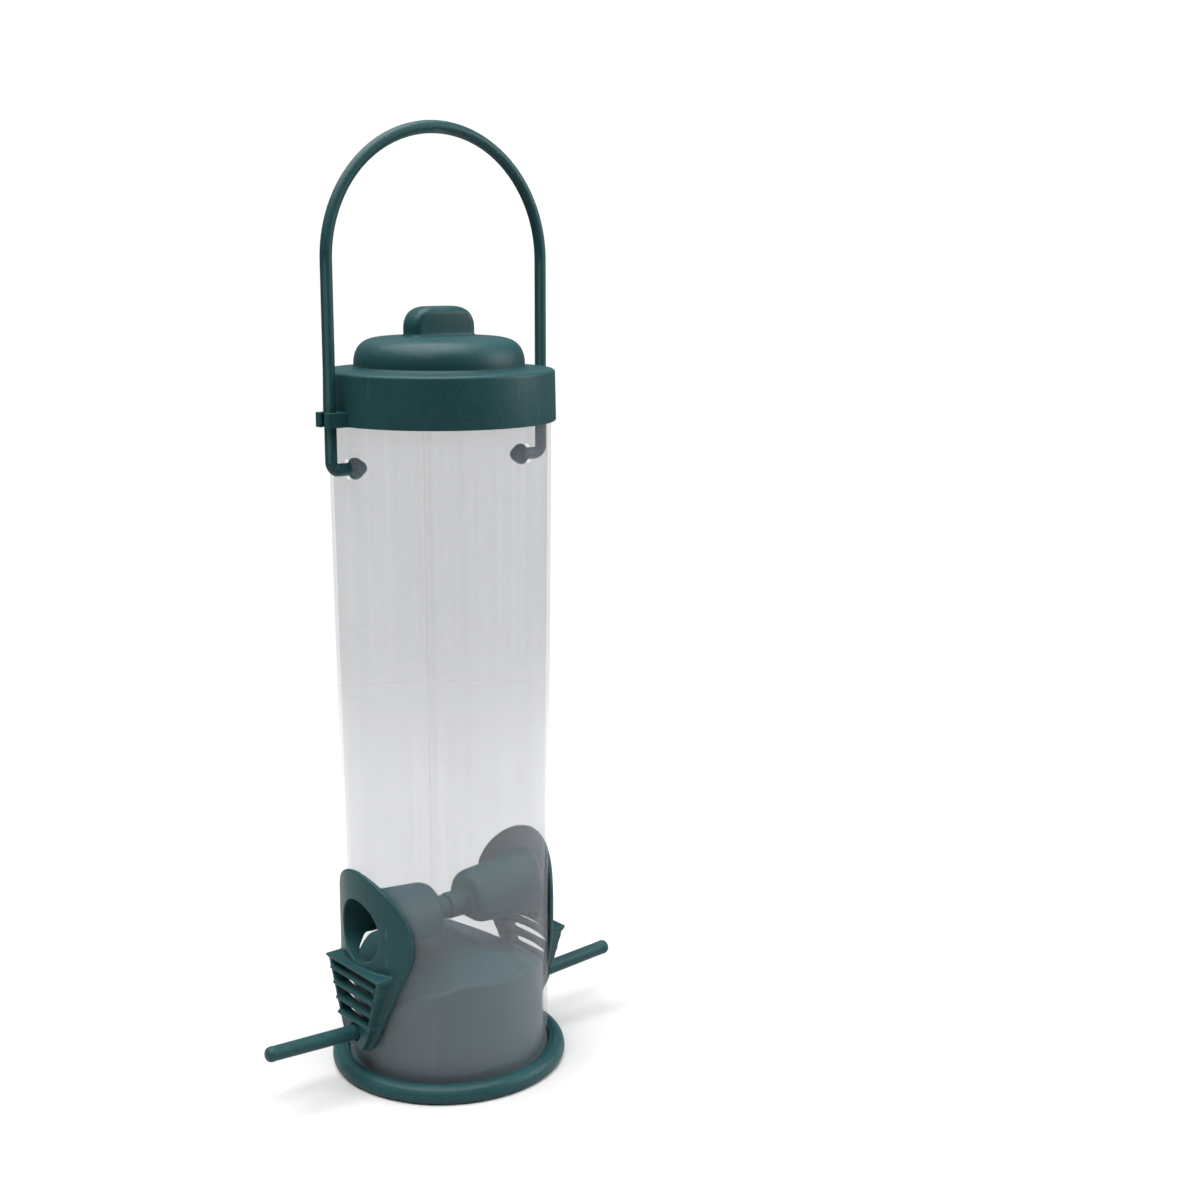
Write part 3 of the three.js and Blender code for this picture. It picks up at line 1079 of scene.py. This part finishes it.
def hood():
    shell = rod_along_x(
        "hood",
        eased(
            [
                (0, HOOD_END), (7.2, HOOD_END), (8.9, HOOD_END + 0.8),
                (HOOD_END_R, HOOD_END + 2.6), (HOOD_ROOT_R, HOOD_ROOT),
                (OPENING_R + 0.1, HOOD_ROOT), (HOOD_END_R - HOOD_WALL, HOOD_END + 2.9),
                (6.9, HOOD_END + HOOD_WALL), (0, HOOD_END + HOOD_WALL),
            ],
            0.8,
        ),
        PORT_Z,
    )
    below = [(0, 20), (33, 20), (32.6, 38.2), (31.6, 39.4), (25.5, SKIRT_Z), (0, SKIRT_Z)]
    carved(shell, prism("below", below, -20, 20, along="y"))
    return carved(shell, solid_drum(SADDLE_OUT), "INTERSECT")


# %% [markdown]
# The two ports differ only where they meet in the middle of the tube: one ends
# in a neck with a thin peg, the other in a wider neck with the bore that takes
# it. The perch leaves each block at a slight upward tilt.

# %% The two ports
PERCH_R = 2.4
PERCH_ROOT = 33.9
PERCH_TIP = 66
PERCH_FACE = 35.5
PERCH_Z = 17.2
PERCH_TILT = 0.052  # radians, about three degrees
PEG_R = 2.4
PORT_GRAIN = 0.32  # voxel edge in millimetres, a quarter of the thinnest wall
PORT_SOFTENING = 4  # rounds of smoothing after the remesh
PORT_KEEP = 0.55  # share of the faces that Decimate leaves


def along_perch(piece):
    tilt = Matrix.Rotation(-PERCH_TILT, 4, "Y")
    return moved(piece, Matrix.Translation(Vector((PERCH_FACE, 0, PERCH_Z)) * MM) @ tilt)


def port(name):
    body = carved(bracket(), solid_drum(SADDLE_IN))
    carved(body, saddle(), "UNION")
    carved(body, plain_rod("opening", OPENING_R, 15, 50, PORT_Z))
    carved(body, hood(), "UNION")
    start = PERCH_ROOT - PERCH_FACE - 0.35
    carved(body, along_perch(plain_rod("perch_bore", PERCH_R + 0.3, start, start + 20, 0)))
    body.name = name
    return body


def neck(radius, tip):
    return plain_rod("neck", radius, tip, HOOD_END + 0.6, PORT_Z)


peg_port = carved(port("port_with_peg"), neck(3.8, 1.2), "UNION")
carved(peg_port, plain_rod("peg", PEG_R, -8.4, 1.3, PORT_Z), "UNION")
moved(peg_port, HALF_TURN)
moulded(peg_port, PORT_GRAIN, PORT_SOFTENING, PORT_KEEP)
finished(peg_port, "port_1", "feeder", green_plastic, sharp_from=80)

socket_port = carved(port("port_with_socket"), neck(4.2, -0.6), "UNION")
carved(socket_port, plain_rod("peg_bore", PEG_R + 0.35, -2, HOOD_END + 5, PORT_Z))
moulded(socket_port, PORT_GRAIN, PORT_SOFTENING, PORT_KEEP)
finished(socket_port, "port_2", "feeder", green_plastic, sharp_from=80)

# %% [markdown]
# A perch is a plain moulded stick, hardly thinner towards its end, with a tip
# that swells a little and is rounded. It is turned in one piece, laid along X and
# tilted like the bore that it stands in.


# %% The two perches
def perch(name):
    length = PERCH_TIP - PERCH_ROOT
    loop = [(0, 0), (2.1, 0), (2.38, 0.3)]
    loop += [(2.38 - 0.1 * k / 8, 0.5 + (length - 3.1) * k / 8) for k in range(9)]
    loop += [(2.34, length - 2.3), (2.36, length - 1.8)]
    for a in range(5, 90, 8):
        loop.append((2.3 * cos(radians(a)) ** 0.8, length - 1.7 + 1.7 * sin(radians(a))))
    loop += [(0, length)]
    stick = rod_along_x(name, loop, 0, 48)
    moved(stick, Matrix.Translation(((PERCH_ROOT - PERCH_FACE) * MM, 0, 0)))
    return along_perch(stick)


near_perch = moved(perch("perch_by_peg"), HALF_TURN)
finished(near_perch, "perch_1", "feeder", green_plastic, sharp_from=40)
far_perch = perch("perch_by_socket")
finished(far_perch, "perch_2", "feeder", green_plastic, sharp_from=40)

# %% [markdown]
# The feeder stands on a plain white table. The table's edge would draw a line
# across the white room, so its paper is whole near the feeder and fades out with
# distance. It brightens what is near it from below, as real paper does.

# %% The table
TABLE_R = 0.68
PAPER = "#c3c3c3"
PAPER_WHOLE, PAPER_GONE = 0.24, 0.66  # metres from the middle

bearings = [radians(a) for a in range(0, 360, 3)]
edge = [(TABLE_R * cos(a), TABLE_R * sin(a), 0) for a in bearings]
table_mesh = bpy.data.meshes.new("table")
table_mesh.from_pydata(edge, [], [tuple(range(len(edge)))])
table = bpy.data.objects.new("table", table_mesh)
bpy.context.collection.objects.link(table)
paper, paper_tree, paper_place = new_material("white_paper")
from_middle = add_node(
    paper_tree,
    "ShaderNodeVectorMath",
    {0: paper_place},
    operation="LENGTH",
)
there = add_node(
    paper_tree,
    "ShaderNodeMapRange",
    {0: from_middle.outputs["Value"], 1: PAPER_WHOLE, 2: PAPER_GONE, 3: 1.0, 4: 0.0},
    interpolation_type="SMOOTHSTEP",
)
sheet = add_node(
    paper_tree,
    "ShaderNodeBsdfPrincipled",
    {"Base Color": linear(PAPER), "Roughness": 0.9, "Alpha": there.outputs[0]},
)
add_node(paper_tree, "ShaderNodeOutputMaterial", {"Surface": sheet.outputs[0]})
table_mesh.materials.append(paper)
print("the table is", 2 * TABLE_R, "m across")

# %% [markdown]
# A room could be built of walls, but a world background costs nothing and can
# answer two questions differently. To the eye it is simply white. To the plastic
# it is dim, with a paler wall behind, which keeps the front of the green parts
# deep and still draws a soft edge on them.

# %% The room
ROOM_GLOW = 0.025  # in front of the table
WALL_GLOW = 0.2  # the wall behind it
WALL_STARTS, WALL_FULL = 0.2, 0.9  # how straight backwards, from 0 to 1
WHITE = 1.02  # what the eye sees past the table
BACKWARDS = (0.565, 0.825, 0.0)  # level, from the camera's side to the wall

world = bpy.data.worlds.new("studio")
bpy.context.scene.world = world
world.use_nodes = True
room = world.node_tree
room.nodes.clear()
seen = add_node(room, "ShaderNodeLightPath").outputs["Is Camera Ray"]
way = add_node(room, "ShaderNodeTexCoord").outputs["Generated"]
facing = add_node(
    room,
    "ShaderNodeVectorMath",
    {0: way, 1: BACKWARDS},
    operation="DOT_PRODUCT",
)
wall = add_node(
    room,
    "ShaderNodeMapRange",
    {0: facing.outputs["Value"], 1: WALL_STARTS, 2: WALL_FULL, 3: ROOM_GLOW, 4: WALL_GLOW},
)
level = add_node(room, "ShaderNodeMapRange", {0: seen, 3: wall.outputs[0], 4: WHITE})
glow = add_node(
    room,
    "ShaderNodeBackground",
    {"Color": (1, 1, 1, 1), "Strength": level.outputs[0]},
)
add_node(room, "ShaderNodeOutputWorld", {"Surface": glow.outputs[0]})
print("the room has", len(room.nodes), "nodes")

# %% [markdown]
# One large soft light hangs overhead, a little to the left, and gives the broad
# pale patches on the dome and the flange. A smaller one from the right keeps the
# right side of the lid and the base from going dark.

# %% Soft lights
AIM = Vector((0, 0, 0.12))  # about half way up the tube


def softbox(name, place, size, watts):
    light = bpy.data.lights.new(name, "AREA")
    light.shape, light.size, light.energy = "SQUARE", size, watts
    lamp = bpy.data.objects.new(name, light)
    bpy.context.collection.objects.link(lamp)
    lamp.location = place
    lamp.rotation_euler = (AIM - Vector(place)).to_track_quat("-Z", "Y").to_euler()
    print(name, "gives", watts, "W from", size, "m")


softbox("overhead", (-0.27, 0.04, 1.6), 1.9, 77)
softbox("from_right", (0.85, -0.6, 0.55), 0.7, 10)

# %% [markdown]
# The camera stands half a metre away, a little above the lid, and looks down at
# the feeder and past it to the right, so that the feeder stands left of centre.

# %% Camera
AWAY, UP = 0.520, 0.254
TURN, PITCH, PAN, ROLL = (radians(a) for a in (-34.4, 11.47, 5.31, 0.22))
LENS, SENSOR, NEAREST = 51.74, 36, 0.02
ahead = Vector((sin(PAN) * cos(PITCH), cos(PAN) * cos(PITCH), -sin(PITCH)))
aside = Vector((cos(PAN), -sin(PAN), 0))
over = aside.cross(ahead)
right = aside * cos(ROLL) + over * sin(ROLL)
above = over * cos(ROLL) - aside * sin(ROLL)
stand = Matrix.Rotation(TURN, 4, "Z") @ Matrix.Translation((0, -AWAY, UP))
pose = Matrix((right, above, -ahead)).transposed().to_4x4()
camera_data = bpy.data.cameras.new("camera")
camera_data.lens, camera_data.sensor_width = LENS, SENSOR
camera_data.clip_start = NEAREST
camera = bpy.data.objects.new("camera", camera_data)
bpy.context.collection.objects.link(camera)
camera.matrix_world = stand @ pose
bpy.context.scene.camera = camera
bpy.context.scene.view_settings.view_transform = "Standard"
print("camera at", [round(v, 3) for v in camera.matrix_world.translation])
